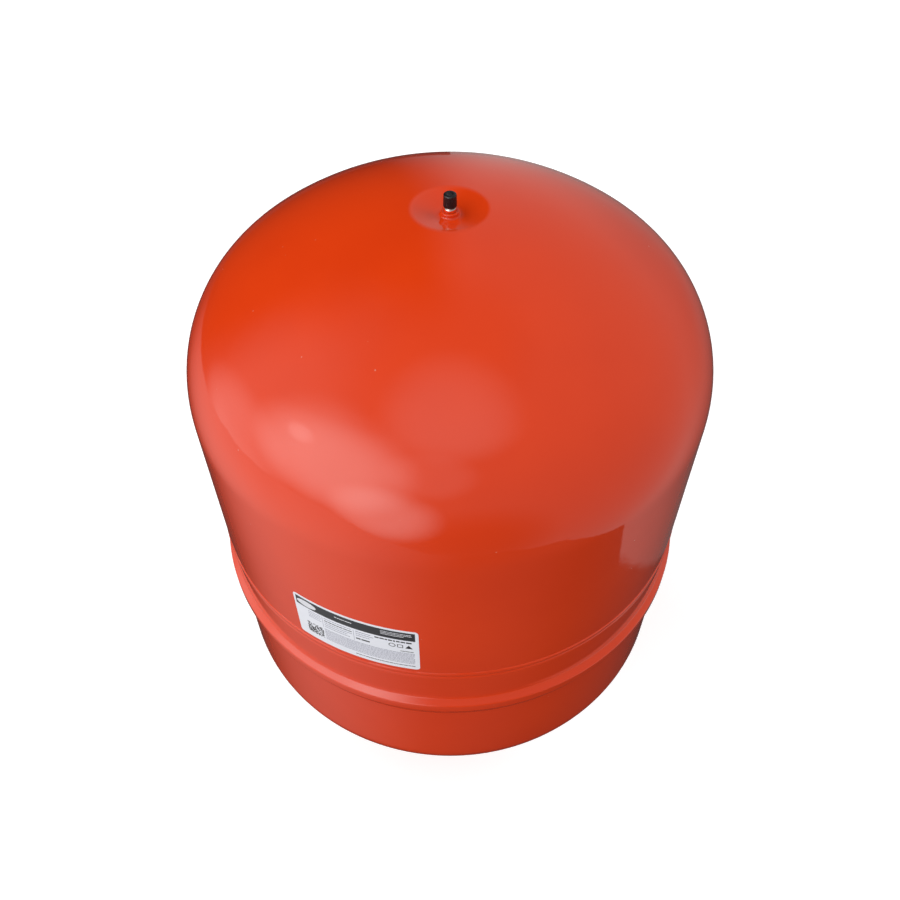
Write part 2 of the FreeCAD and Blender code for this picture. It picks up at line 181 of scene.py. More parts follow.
SEGMENTS = 384
ARC_STEP = math.radians(7.5)
SHARP_EDGE = math.radians(40)

# Camera at the photograph's viewpoint
CAMERA_PLACE = (0, -0.4986, 0.9220)
CAMERA_TILT = math.radians(41.89)
CAMERA_LENS = 34.77
CAMERA_SENSOR = 36
CAMERA_SHIFT = -0.01339


# ---------------------------------------------------------------- outlines

def steps(start, end, step):
    """Evenly spaced values from start to end, both included."""
    count = max(1, math.ceil(abs(end - start) / step))
    return [start + (end - start) * index / count for index in range(count + 1)]


def rounded(points, corners):
    """(radius, height) points with every inner corner rounded to its own radius."""
    path = [Vector(point) for point in points]
    outline = [path[0]]
    for before, vertex, after, corner in zip(path, path[1:], path[2:], corners):
        arriving = (vertex - before).normalized()
        leaving = (after - vertex).normalized()
        turn = arriving.angle(leaving)
        if arriving.cross(leaving) < 0:
            turn = -turn
        if corner == 0 or abs(turn) < 1e-4:
            outline.append(vertex)
            continue
        reach = corner * math.tan(abs(turn) / 2)
        inward = (leaving - arriving).normalized()
        centre = vertex + inward * corner / math.cos(turn / 2)
        spoke = vertex - arriving * reach - centre
        for angle in steps(0, turn, ARC_STEP):
            outline.append(centre + Matrix.Rotation(angle, 2) @ spoke)
    outline.append(path[-1])
    return outline


def dome(tangent, knuckle, up, inner_radius=0.0):
    """Crown and knuckle of an end, from inner_radius out; up is 1 at the top, -1 at the bottom."""
    reach = BODY_RADIUS - knuckle
    spread = CROWN_RADIUS - knuckle
    centre = tangent - up * math.sqrt(spread ** 2 - reach ** 2)
    join = math.asin(reach / spread)
    outline = []
    for angle in steps(math.asin(inner_radius / CROWN_RADIUS), join, math.radians(1.5)):
        outline.append(Vector((CROWN_RADIUS * math.sin(angle), centre + up * CROWN_RADIUS * math.cos(angle))))
    for angle in steps(join, math.pi / 2, math.radians(2.5)):
        outline.append(Vector((reach + knuckle * math.sin(angle), tangent + up * knuckle * math.cos(angle))))
    return outline


def crown_height(radius, tangent, knuckle, up):
    """Height of an end's crown at a radius."""
    spread = CROWN_RADIUS - knuckle
    centre = tangent - up * math.sqrt(spread ** 2 - (BODY_RADIUS - knuckle) ** 2)
    return centre + up * math.sqrt(CROWN_RADIUS ** 2 - radius ** 2)


def upright(start, end, step=0.006):
    """Points of a straight run, close enough together for the skin to wave between them."""
    start, end = Vector(start), Vector(end)
    return [start.lerp(end, share) for share in steps(0, 1, step / (end - start).length)]


def tidy(points):
    """The outline with repeated points left out."""
    kept = [points[0]]
    for point in points[1:]:
        if (point - kept[-1]).length > 1e-6:
            kept.append(point)
    return kept


def shifted(points, distance):
    """The outline moved to its left by distance."""
    moved = []
    for index, point in enumerate(points):
        before = points[max(index - 1, 0)]
        after = points[min(index + 1, len(points) - 1)]
        along = (after - before).normalized()
        moved.append(point + Vector((-along.y, along.x)) * distance)
    return moved


def sheet_metal(outline, thickness):
    """Closed section of a sheet whose outer face is outline; thickness is signed, to the left."""
    outline = tidy(outline)
    return outline + shifted(outline, thickness)[::-1]


# ---------------------------------------------------------------- meshes

def skin_wave(angle, height):
    """Slight waviness that pressing and rolling leave in the sheet."""
    place = Vector((math.cos(angle) * 2.2, math.sin(angle) * 2.2, height * 11))
    return SKIN_WAVE * noise.noise(place)


def mesh_piece(name, vertices, faces):
    """Smooth-shaded object, with its real corners kept sharp."""
    mesh = bpy.data.meshes.new(name)
    mesh.from_pydata(vertices, [], faces)
    mesh.shade_smooth()
    mesh.set_sharp_from_angle(angle=SHARP_EDGE)
    piece = bpy.data.objects.new(name, mesh)
    bpy.context.scene.collection.objects.link(piece)
    return piece


def lathe(name, section, segments=SEGMENTS, shape=None):
    """Solid of revolution of a closed (radius, height) section; shape may move each point."""
    area = sum(a.cross(b) for a, b in zip(section, section[1:] + section[:1]))
    if area < 0:
        section = section[::-1]
    vertices, rings = [], []
    for radius, height in section:
        count = 1 if radius < 1e-9 else segments
        rings.append([len(vertices) + index % count for index in range(segments)])
        for index in range(count):
            angle = 2 * math.pi * index / segments
            out, up = shape(radius, height, angle) if shape else (radius, height)
            vertices.append((out * math.cos(angle), out * math.sin(angle), up))
    faces = []
    for ring, following in zip(rings, rings[1:] + rings[:1]):
        for index in range(segments):
            step = (index + 1) % segments
            corners = [ring[index], ring[step], following[step], following[index]]
            corners = list(dict.fromkeys(corners))
            if len(corners) > 2:
                faces.append(corners)
    return mesh_piece(name, vertices, faces)


def tube(name, paths, sides=12):
    """Closed tubes along paths of (point, radius); one object."""
    vertices, faces = [], []
    for path in paths:
        points = [Vector(point) for point, _ in path]
        side = None
        first = len(vertices)
        for index, (_, radius) in enumerate(path):
            along = points[min(index + 1, len(points) - 1)] - points[max(index - 1, 0)]
            along.normalize()
            if side is None:
                side = along.orthogonal().normalized()
            side = (side - along * side.dot(along)).normalized()
            over = along.cross(side)
            for corner in range(sides):
                angle = 2 * math.pi * corner / sides
                spoke = side * math.cos(angle) + over * math.sin(angle)
                vertices.append(points[index] + spoke * radius)
        for index in range(len(path) - 1):
            for corner in range(sides):
                here = first + index * sides + corner
                beside = first + index * sides + (corner + 1) % sides
                faces.append((here, beside, beside + sides, here + sides))
        faces.append([first + corner for corner in range(sides)][::-1])
        last = first + (len(path) - 1) * sides
        faces.append([last + corner for corner in range(sides)])
    return mesh_piece(name, vertices, faces)


def dress(piece, material, slot, body, *nodes):
    """Gives a new piece its material and its body, and hides the nodes it stands for; slot is not used."""
    piece.data.materials.clear()
    piece.data.materials.append(material)
    if body:
        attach(piece, body)
    if nodes:
        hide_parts(*nodes)


def dress_nodes(material, *names):
    """Gives carried-over nodes their material."""
    for name in names:
        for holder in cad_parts[name].material_slots:
            holder.material = material


# ---------------------------------------------------------------- materials

class Wiring:
    """A node tree, built by short calls; place is where its patterns are looked up."""

    def __init__(self, tree, coordinates):
        self.tree = tree
        tree.nodes.clear()
        self.place = self.add("ShaderNodeTexCoord").outputs[coordinates]

    def add(self, kind, **settings):
        node = self.tree.nodes.new(kind)
        for key, value in settings.items():
            setattr(node, key, value)
        return node

    def feed(self, socket, value):
        """Links a socket to an output, or sets it to a number or colour."""
        if isinstance(value, bpy.types.NodeSocket):
            self.tree.links.new(value, socket)
        else:
            socket.default_value = value

    def stretched(self, x, y, z):
        """Coordinates scaled differently along each axis."""
        node = self.add("ShaderNodeMapping")
        node.inputs["Scale"].default_value = (x, y, z)
        self.feed(node.inputs["Vector"], self.place)
        return node.outputs["Vector"]

    def noise(self, scale, detail=2.0, roughness=0.5, place=None):
        node = self.add("ShaderNodeTexNoise")
        node.inputs["Scale"].default_value = scale
        node.inputs["Detail"].default_value = detail
        node.inputs["Roughness"].default_value = roughness
        self.feed(node.inputs["Vector"], place or self.place)
        return node.outputs["Fac"]

    def cells(self, scale):
        """Distance to the nearest of scattered points."""
        node = self.add("ShaderNodeTexVoronoi")
        node.inputs["Scale"].default_value = scale
        self.feed(node.inputs["Vector"], self.place)
        return node.outputs["Distance"]

    def ramp(self, value, low, high, start=0.0, end=1.0):
        """Value from low to high, mapped smoothly onto start to end."""
        node = self.add("ShaderNodeMapRange", interpolation_type="SMOOTHSTEP")
        self.feed(node.inputs["Value"], value)
        self.feed(node.inputs["From Min"], low)
        self.feed(node.inputs["From Max"], high)
        self.feed(node.inputs["To Min"], start)
        self.feed(node.inputs["To Max"], end)
        return node.outputs["Result"]

    def calc(self, operation, first, second):
        node = self.add("ShaderNodeMath", operation=operation)
        self.feed(node.inputs[0], first)
        self.feed(node.inputs[1], second)
        return node.outputs["Value"]

    def along(self, direction):
        """How far the place lies along a direction."""
        node = self.add("ShaderNodeVectorMath", operation="DOT_PRODUCT")
        self.feed(node.inputs[0], self.place)
        self.feed(node.inputs[1], direction)
        return node.outputs["Value"]

    def mix(self, factor, first, second):
        """Colour between first and second."""
        node = self.add("ShaderNodeMix", data_type="RGBA")
        self.feed(node.inputs["Factor"], factor)
        self.feed(node.inputs[6], first)
        self.feed(node.inputs[7], second)
        return node.outputs[2]


class Finish(Wiring):
    """A material with one Principled shader."""

    def __init__(self, name, **settings):
        self.material = bpy.data.materials.new(name)
        self.material.use_nodes = True
        super().__init__(self.material.node_tree, "Object")
        self.shader = self.add("ShaderNodeBsdfPrincipled")
        output = self.add("ShaderNodeOutputMaterial")
        self.feed(output.inputs["Surface"], self.shader.outputs["BSDF"])
        for socket, value in settings.items():
            self.set(socket.replace("_", " "), value)

    def set(self, name, value):
        self.feed(self.shader.inputs[name], value)

    def bump(self, value, distance, onto=None):
        """Normal of a surface raised by distance where value is 1."""
        node = self.add("ShaderNodeBump")
        node.inputs["Distance"].default_value = distance
        self.feed(node.inputs["Height"], value)
        if onto:
            self.feed(node.inputs["Normal"], onto)
        return node.outputs["Normal"]


def colour(red, green, blue):
    return (red, green, blue, 1.0)


PAINT_RED = colour(0.72, 0.046, 0.0036)
PAINT_DEEP = colour(0.68, 0.041, 0.0032)
DUST = colour(0.62, 0.36, 0.27)


def paint(name, peel_height, dusty):
    """Glossy red enamel with orange peel, faint clouds of colour and a little dust."""
    finish = Finish(name, Roughness=0.42, Specular_IOR_Level=0.05, Coat_Weight=1.0, Coat_IOR=1.5)
    clouds = finish.noise(7, 3)
    base = finish.mix(finish.ramp(clouds, 0.35, 0.65), PAINT_RED, PAINT_DEEP)
    rarity = finish.ramp(finish.noise(23, 1), 0.55, 0.7)
    speck = finish.calc("MULTIPLY", finish.ramp(finish.cells(85), 0.065, 0.025), rarity)
    finish.set("Base Color", finish.mix(finish.calc("MULTIPLY", speck, dusty), base, DUST))
    film = finish.ramp(finish.noise(4, 4, 0.6), 0.4, 0.75, 0.03, 0.085)
    finish.set("Coat Roughness", finish.calc("ADD", film, finish.calc("MULTIPLY", speck, 0.3)))
    peel = finish.bump(finish.noise(300, 1.5, 0.4), peel_height)
    finish.set("Coat Normal", finish.bump(finish.noise(40, 1), peel_height * 4, peel))
    return finish.material


def bare_steel():
    """Inside of the shells: rolled sheet with mill scale and light oxide."""
    finish = Finish("bare_steel", Metallic=0.9)
    rolled = finish.noise(60, 3, place=finish.stretched(1, 1, 14))
    oxide = finish.ramp(finish.noise(14, 5, 0.65), 0.48, 0.68)
    steel = finish.mix(rolled, colour(0.16, 0.16, 0.17), colour(0.26, 0.26, 0.27))
    finish.set("Base Color", finish.mix(oxide, steel, colour(0.17, 0.10, 0.065)))
    finish.set("Roughness", finish.ramp(rolled, 0.2, 0.8, 0.38, 0.62))
    finish.set("Normal", finish.bump(rolled, 0.00002))
    return finish.material


def plated(name, low, high, roughness, grain):
    """Plated or turned metal: two close shades, fine turning marks and uneven gloss."""
    finish = Finish(name, Metallic=1.0)
    marks = finish.noise(grain, 2, place=finish.stretched(0.15, 0.15, 1))
    clouds = finish.noise(grain / 12, 3)
    finish.set("Base Color", finish.mix(finish.ramp(clouds, 0.3, 0.7), low, high))
    finish.set("Roughness", finish.ramp(marks, 0.2, 0.8, roughness * 0.75, roughness * 1.3))
    finish.set("Normal", finish.bump(marks, 0.1 / grain / 40))
    return finish.material


def rubber(name, shade, bloom):
    """Moulded rubber with a fine matt grain and a greyish bloom."""
    finish = Finish(name, Specular_IOR_Level=0.35)
    clouds = finish.ramp(finish.noise(25, 4, 0.6), 0.35, 0.75)
    greyed = colour(bloom, bloom, bloom * 1.02)
    finish.set("Base Color", finish.mix(clouds, colour(shade, shade, shade), greyed))
    finish.set("Roughness", finish.ramp(clouds, 0, 1, 0.55, 0.8))
    finish.set("Normal", finish.bump(finish.noise(900, 2), 0.00004))
    return finish.material


def cap_plastic():
    """Black moulded plastic, slightly scuffed."""
    finish = Finish("cap_plastic", Specular_IOR_Level=0.5)
    scuffs = finish.ramp(finish.noise(900, 4, 0.7, finish.stretched(1, 1, 0.25)), 0.55, 0.75)
    finish.set("Base Color", finish.mix(scuffs, colour(0.006, 0.0055, 0.007), colour(0.028, 0.027, 0.03)))
    finish.set("Roughness", finish.ramp(scuffs, 0, 1, 0.26, 0.5))
    finish.set("Normal", finish.bump(finish.noise(2600, 2), 0.00001))
    return finish.material


def film():
    """White label film with a satin face and the faintest grey mottling."""
    finish = Finish("label_film", Coat_Weight=0.4, Coat_Roughness=0.25)
    mottle = finish.noise(160, 3)
    finish.set("Base Color", finish.mix(mottle, colour(0.86, 0.87, 0.93), colour(0.80, 0.81, 0.88)))
    finish.set("Roughness", finish.ramp(mottle, 0.2, 0.8, 0.35, 0.5))
    finish.set("Normal", finish.bump(finish.noise(70, 2), 0.00003))
    return finish.material


def ink(name, shade, worn):
    """Thermal-printed ink, slightly uneven."""
    finish = Finish(name, Coat_Weight=0.3, Coat_Roughness=0.25)
    uneven = finish.ramp(finish.noise(1400, 3, 0.6), 0.35, 0.7)
    finish.set("Base Color", finish.mix(uneven, shade, worn))
    finish.set("Roughness", finish.ramp(uneven, 0, 1, 0.32, 0.5))
    return finish.material


# ---------------------------------------------------------------- body

def upper_shell(material, steel):
    """Dome with its dimple, the upper wall, and the joggled lip that goes into the lower shell."""
    rim = crown_height(DIMPLE_RADIUS, UPPER_TANGENT, UPPER_KNUCKLE, 1)
    beyond = DIMPLE_RADIUS + DIMPLE_RIM_REACH
    crown = crown_height(beyond, UPPER_TANGENT, UPPER_KNUCKLE, 1)
    hole = BOSS_RADIUS - SHEET + FIT
    outline = rounded([
        (hole, DIMPLE_FLOOR),
        (DIMPLE_FLOOR_RADIUS, DIMPLE_FLOOR),
        (DIMPLE_RADIUS, rim),
        (beyond, crown),
    ], [DIMPLE_FLOOR_BLEND, DIMPLE_RIM_BLEND])
    outline += dome(UPPER_TANGENT, UPPER_KNUCKLE, 1, beyond)
    outline += upright((BODY_RADIUS, UPPER_TANGENT), (BODY_RADIUS, SEAM + 2 * JOGGLE))
    outline += rounded([
        (BODY_RADIUS, SEAM + 2 * JOGGLE),
        (BODY_RADIUS, SEAM + JOGGLE),
        (LIP_RADIUS, SEAM + JOGGLE - SHEET),
        (LIP_RADIUS, SEAM - LIP_LENGTH),
    ], [JOGGLE, JOGGLE])
    shell = lathe("upper_shell_skin", sheet_metal(outline, -SHEET), shape=waved)
    dress(shell, material, "body_paint", "vessel", "upper_shell")
    line_inside(shell, steel)


def waved(radius, height, angle):
    """Skin waviness, fading out on the dome's top and at the seam."""
    share = min(1, max(0, (radius - 0.04) / 0.06))
    seam = min(1, max(0, abs(height - SEAM) / 0.01 - 0.5))
    return radius + skin_wave(angle, height) * share * seam, height


def lower_shell(material, steel):
    """Bottom end, the lower wall and the rolled bead."""
    crest = BODY_RADIUS + BEAD_DEPTH
    crest_top = BEAD_TOP - BEAD_SHOULDER
    crest_bottom = crest_top - BEAD_CREST
    bead_bottom = crest_bottom - BEAD_SLOPE
    outline = dome(LOWER_TANGENT, LOWER_KNUCKLE, -1, COLLAR_RADIUS + FIT)
    outline += upright((BODY_RADIUS, LOWER_TANGENT), (BODY_RADIUS, bead_bottom - 0.002))
    outline += rounded([
        (BODY_RADIUS, bead_bottom - 0.002),
        (BODY_RADIUS, bead_bottom),
        (crest, crest_bottom),
        (crest, crest_top),
        (BODY_RADIUS, BEAD_TOP),
        (BODY_RADIUS, BEAD_TOP + 0.004),
    ], [BEAD_CORNER] * 4)
    outline += upright((BODY_RADIUS, BEAD_TOP + 0.004), (BODY_RADIUS, SEAM - 0.0006))
    outline.append(Vector((BODY_RADIUS - 0.0005, SEAM)))
    shell = lathe("lower_shell_skin", sheet_metal(outline, SHEET), shape=waved)
    dress(shell, material, "body_paint", "vessel", "lower_shell")
    line_inside(shell, steel)


def line_inside(shell, steel):
    """Bare steel on the faces that look into the vessel."""
    shell.data.materials.append(steel)
    for face in shell.data.polygons:
        inward = face.normal.x * face.center.x + face.normal.y * face.center.y
        if abs(face.center.z - SEAM) > 0.1:
            middle = UPPER_MIDDLE if face.center.z > SEAM else LOWER_MIDDLE
            inward += face.normal.z * (face.center.z - middle)
        if inward < 0:
            face.material_index = 1


def seam_weld(material):
    """Low rippled bead round the seam."""
    middle = SEAM + JOGGLE / 2
    half = 0.0025
    rise = 0.0006
    ripples = 720

    def ripple(radius, height, angle):
        if radius < BODY_RADIUS + 0.0001:
            return radius, height
        wander = 0.0003 * noise.noise(Vector((math.cos(angle) * 9, math.sin(angle) * 9, 0)))
        wave = 0.00005 * math.sin(angle * ripples + (height - middle) * 900)
        return radius + wave, height + wander

    section = [Vector((BODY_RADIUS - SHEET, middle + half)), Vector((BODY_RADIUS - SHEET, middle - half))]
    for angle in steps(-math.pi / 2, math.pi / 2, math.radians(20)):
        section.append(Vector((BODY_RADIUS + rise * math.cos(angle), middle + half * math.sin(angle))))
    weld = lathe("seam_weld_bead", section, segments=ripples * 3, shape=ripple)
    dress(weld, material, "weld_paint", "vessel", "seam_weld")


# ---------------------------------------------------------------- air valve

def boss(material):
    """Bush in the dimple, with the seal's seat in its top."""
    low = BOSS_LOW.z
    spigot = BOSS_RADIUS - SHEET
    bore = STEM_RADIUS + FIT
    section = rounded([
        (bore, BOSS_TOP - SEAL_SEAT_DEPTH),
        (bore, low),
        (spigot, low),
        (spigot, DIMPLE_FLOOR),
        (BOSS_RADIUS, DIMPLE_FLOOR),
        (BOSS_RADIUS, BOSS_TOP),
        (STEM_COLLAR, BOSS_TOP),
        (STEM_COLLAR, BOSS_TOP - SEAL_SEAT_DEPTH),
        (bore, BOSS_TOP - SEAL_SEAT_DEPTH),
    ], [0, 0.0003, 0, 0, 0.0007, 0.0002, 0])
    piece = lathe("boss_bush", tidy(section)[:-1], segments=96)
    dress(piece, material, "body_paint", "vessel", "valve_boss")


def boss_weld(material):
    """Fillet round the bush's foot."""
    leg = 0.0011

    def ripple(radius, height, angle):
        grow = max(0, height - DIMPLE_FLOOR) / leg
        return radius + 0.00006 * grow * math.sin(26 * angle), height

    section = rounded([
        (BOSS_RADIUS - 0.0001, DIMPLE_FLOOR - 0.0001),
        (BOSS_RADIUS + leg, DIMPLE_FLOOR - 0.0001),
        (BOSS_RADIUS + leg * 0.3, DIMPLE_FLOOR + leg * 0.3),
        (BOSS_RADIUS, DIMPLE_FLOOR + leg),
        (BOSS_RADIUS - 0.0001, DIMPLE_FLOOR + leg),
    ], [0, 0.0015, 0])
    piece = lathe("boss_weld_bead", tidy(section), segments=208, shape=ripple)
    dress(piece, material, "weld_paint", "vessel", "boss_weld")


def threaded(crest, pitch, depth, bottom, top):
    """Shape that cuts a rounded thread into radius crest between two heights."""
    def shape(radius, height, angle):
        if abs(radius - crest) > 1e-6 or not bottom < height < top:
            return radius, height
        phase = height / pitch - angle / (2 * math.pi)
        groove = (0.5 - 0.5 * math.cos(2 * math.pi * phase)) ** 0.8
        runout = min(1, (height - bottom) / pitch, (top - height) / (pitch / 2))
        return radius - depth * groove * runout, height
    return shape


def stem(material, painted):
    """Stem with its thread; the paint reaches over its collar."""
    collar_top = BOSS_TOP + STEM_COLLAR_HEIGHT
    chamfer = 0.0004
    shank = rounded([
        (STEM_SEAT_BORE, STEM_FOOT),
        (STEM_RADIUS - FIT, STEM_FOOT),
        (STEM_RADIUS - FIT, BOSS_TOP),
        (STEM_COLLAR, BOSS_TOP),
        (STEM_COLLAR, collar_top),
        (STEM_RADIUS, collar_top),
        (STEM_RADIUS, collar_top + 0.0001),
    ], [0.0003, 0, 0.0002, 0.0002, 0])
    thread = upright((STEM_RADIUS, collar_top + 0.0001), (STEM_RADIUS, STEM_TOP - chamfer), 0.00006)
    mouth = rounded([
        (STEM_RADIUS, STEM_TOP - chamfer),
        (STEM_RADIUS - chamfer, STEM_TOP),
        (STEM_BORE, STEM_TOP),
        (STEM_BORE, CORE_SEAT),
        (STEM_SEAT_BORE, CORE_SEAT - 0.0007),
        (STEM_SEAT_BORE, STEM_FOOT + 0.0001),
    ], [0, 0.0002, 0, 0])
    shape = threaded(STEM_RADIUS, STEM_PITCH, STEM_THREAD_DEPTH, collar_top, STEM_TOP)
    piece = lathe("stem_thread", tidy(shank + thread + mouth), segments=72, shape=shape)
    dress(piece, material, "nickel", "vessel", "valve_stem")
    piece.data.materials.append(painted)
    for face in piece.data.polygons:
        if face.center.z < collar_top + 0.00015 and face.center.xy.length > STEM_BORE + 0.0005:
            face.material_index = 1


def cap(material):
    """Dust cap with ribs up its side, a rounded rim and a slightly dished top."""
    ceiling = STEM_TOP + 0.0011
    height = CAP_TOP - CAP_BOTTOM
    shoulder = 0.0012
    groove_depth = 0.00026

    def ribbed(radius, z, angle):
        if radius < CAP_BORE + 0.0002 or z > CAP_TOP - 0.0005:
            return radius, z
        fade = min(1, (CAP_TOP - 0.0006 - z) / 0.0013, (z - CAP_BOTTOM) / 0.0005 + 0.2)
        groove = max(0, math.cos(CAP_GROOVES * angle)) ** 3
        return radius - groove_depth * groove * max(0, fade), z

    side_foot = (CAP_BASE_RADIUS, CAP_BOTTOM + 0.0004)
    side_head = (CAP_TOP_RADIUS + 0.00005, CAP_TOP - shoulder)
    side = upright(side_foot, side_head, 0.0004)
    top = rounded([
        side[-1],
        (CAP_TOP_RADIUS - 0.00005, CAP_TOP),
        (0.0022, CAP_TOP),
        (0.0016, CAP_TOP - 0.00018),
        (0, CAP_TOP - 0.00018),
    ], [shoulder, 0.0008, 0.0008])
    section = [
        Vector((0, ceiling)),
        Vector((CAP_BORE, ceiling)),
        Vector((CAP_BORE, CAP_BOTTOM + height * 0.02)),
        Vector((CAP_BORE + 0.0001, CAP_BOTTOM)),
        Vector((CAP_BASE_RADIUS - 0.00035, CAP_BOTTOM)),
        Vector((CAP_BASE_RADIUS - 0.0001, CAP_BOTTOM + 0.0001)),
    ]
    piece = lathe("dust_cap", tidy(section + side + top), segments=CAP_GROOVES * 16, shape=ribbed)
    dress(piece, material, "cap_plastic", "cap", "valve_cap")


def core_spring(material):
    """Wire of the valve core's spring, one end on the barrel and the other on the pin's collar."""
    low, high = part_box("core_spring")
    wire = 0.00014
    radius = 0.00098
    bottom, top = low.z + wire, high.z - wire
    turns = 6
    path = []
    for share in steps(0, 1, 1 / (turns * 20)):
        angle = 2 * math.pi * turns * share
        point = (radius * math.cos(angle), radius * math.sin(angle), bottom + (top - bottom) * share)
        path.append((point, wire))
    spring = tube("spring_wire", [path], sides=8)
    dress(spring, material, "spring_steel", None, "core_spring")
    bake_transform(spring)


# ---------------------------------------------------------------- water side

def nipple(material):
    """Water connection: thread, collar, bore, and the guard's seat at its inner end."""
    chamfer = 0.0013
    end, top = NIPPLE_LOW.z, NIPPLE_HIGH.z
    collar_bottom = top - COLLAR_LENGTH
    seat = top - GUARD_THICKNESS
    start = rounded([
        (NIPPLE_BORE, seat),
        (NIPPLE_BORE, end),
        (THREAD_RADIUS - chamfer, end),
        (THREAD_RADIUS, end + chamfer),
    ], [0.0006, 0.0003])
    thread = upright((THREAD_RADIUS, end + chamfer), (THREAD_RADIUS, collar_bottom), 0.00014)
    finish = rounded([
        (THREAD_RADIUS, collar_bottom),
        (COLLAR_RADIUS, collar_bottom),
        (COLLAR_RADIUS, top),
        (GUARD_RADIUS + FIT, top),
        (GUARD_RADIUS + FIT, seat),
    ], [0.0006, 0.0003, 0])
    shape = threaded(THREAD_RADIUS, THREAD_PITCH, THREAD_DEPTH, end, collar_bottom - 0.001)
    piece = lathe("nipple_thread", tidy(start + thread + finish), segments=144, shape=shape)
    dress(piece, material, "zinc_steel", "vessel", "water_nipple")


def nipple_weld(material):
    """Fillet between the bottom end and the nipple's collar."""
    dome_low = crown_height(0, LOWER_TANGENT, LOWER_KNUCKLE, -1)

    def ripple(radius, height, angle):
        if radius < COLLAR_RADIUS + 0.0005:
            return radius, height
        lift = 0.00012 * math.sin(44 * angle) + 0.0002 * noise.noise(Vector((angle * 2, height, 0)))
        return radius + lift, height - lift

    section = rounded([
        (COLLAR_RADIUS - 0.0001, dome_low + 0.0012),
        (COLLAR_RADIUS - 0.0001, dome_low - 0.0025),
        (COLLAR_RADIUS + 0.0022, dome_low - 0.0012),
        (COLLAR_RADIUS + 0.0036, dome_low + 0.0007),
        (COLLAR_RADIUS - 0.0001, dome_low + 0.0012),
    ], [0.0003, 0.004, 0.0004])
    piece = lathe("nipple_weld_bead", tidy(section)[:-1], segments=352, shape=ripple)
    dress(piece, material, "weld_paint", "vessel", "nipple_weld")


def diaphragm(material):
    """One rubber moulding in one fixed shape: bulb, clamped rim, wall and crown; the real one rolls up as
    water comes in.
    """
    rim_low, rim_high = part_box("diaphragm_rim")
    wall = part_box("diaphragm_wall")[1].x
    thickness = 0.002
    cheek = 0.0036
    outline = shifted(tidy(dome(LOWER_TANGENT, LOWER_KNUCKLE, -1)), BODY_RADIUS - wall)
    outline += upright((wall, LOWER_TANGENT), (wall, rim_low.z))
    outline[0].x = 0
    inner = shifted(tidy(outline), thickness)
    inner[0].x = 0
    bulb = BEAD_TOP - BEAD_SHOULDER - BEAD_CREST / 2
    clamp = rounded([
        (wall, rim_low.z),
        (rim_high.x - cheek, bulb - cheek),
        (rim_high.x, bulb - 0.002),
        (rim_high.x, bulb + 0.002),
        (rim_high.x - cheek, bulb + cheek),
        (wall + 0.0006, rim_high.z),
        (wall - thickness, rim_high.z),
        (wall - thickness, rim_low.z),
    ], [0.001, 0.002, 0.002, 0.001, 0.0004, 0.0004])
    piece = lathe("rubber_diaphragm", tidy(outline + clamp + inner[::-1]), segments=192)
    dress(piece, material, "diaphragm_rubber", None, "diaphragm_rim", "diaphragm_wall", "diaphragm_crown")
    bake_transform(piece)


# ---------------------------------------------------------------- legs

def legs(material):
    """The bent strips, with their sheared edges dulled by the paint."""
    for number in range(1, len(LEG_AZIMUTHS) + 1):
        name = "leg_%d" % number
        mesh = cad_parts[name].data.copy()
        mesh.shade_smooth()
        piece = bpy.data.objects.new(name + "_strip", mesh)
        bpy.context.scene.collection.objects.link(piece)
        weld = piece.modifiers.new("join", "WELD")
        weld.merge_threshold = 1e-6
        edge = piece.modifiers.new("edge", "BEVEL")
        edge.width = LEG_EDGE
        edge.segments = 2
        edge.limit_method = "ANGLE"
        edge.angle_limit = math.radians(50)
        edge.harden_normals = True
        dress(piece, material, "leg_paint", "vessel", name)


def leg_welds(material):
    """A rippled bead along each side of every leg's tab."""
    centre = crown_height(0, LOWER_TANGENT, LOWER_KNUCKLE, -1) + CROWN_RADIUS
    side = LEG_WIDTH / 2
    reach = math.sqrt(CROWN_RADIUS ** 2 - side ** 2) + 0.0009
    start = math.asin(LEG_WELD_START / reach)
    end = math.asin(LEG_WELD_END / reach)
    paths = []
    for azimuth in LEG_AZIMUTHS:
        turn = Matrix.Rotation(math.radians(azimuth), 3, "Z")
        for y in (-side - 0.0003, side + 0.0003):
            path = []
            for share in steps(0, 1, 0.02):
                angle = start + (end - start) * share
                point = turn @ Vector((reach * math.sin(angle), y, centre - reach * math.cos(angle)))
                taper = min(1, 0.3 + 8 * share, 0.3 + 8 * (1 - share))
                path.append((point, LEG_WELD_RADIUS * taper * (1 + 0.05 * math.sin(share * 40))))
            paths.append(path)
    dress(tube("leg_weld_beads", paths), material, "weld_paint", "vessel", "leg_welds")


# ---------------------------------------------------------------- label

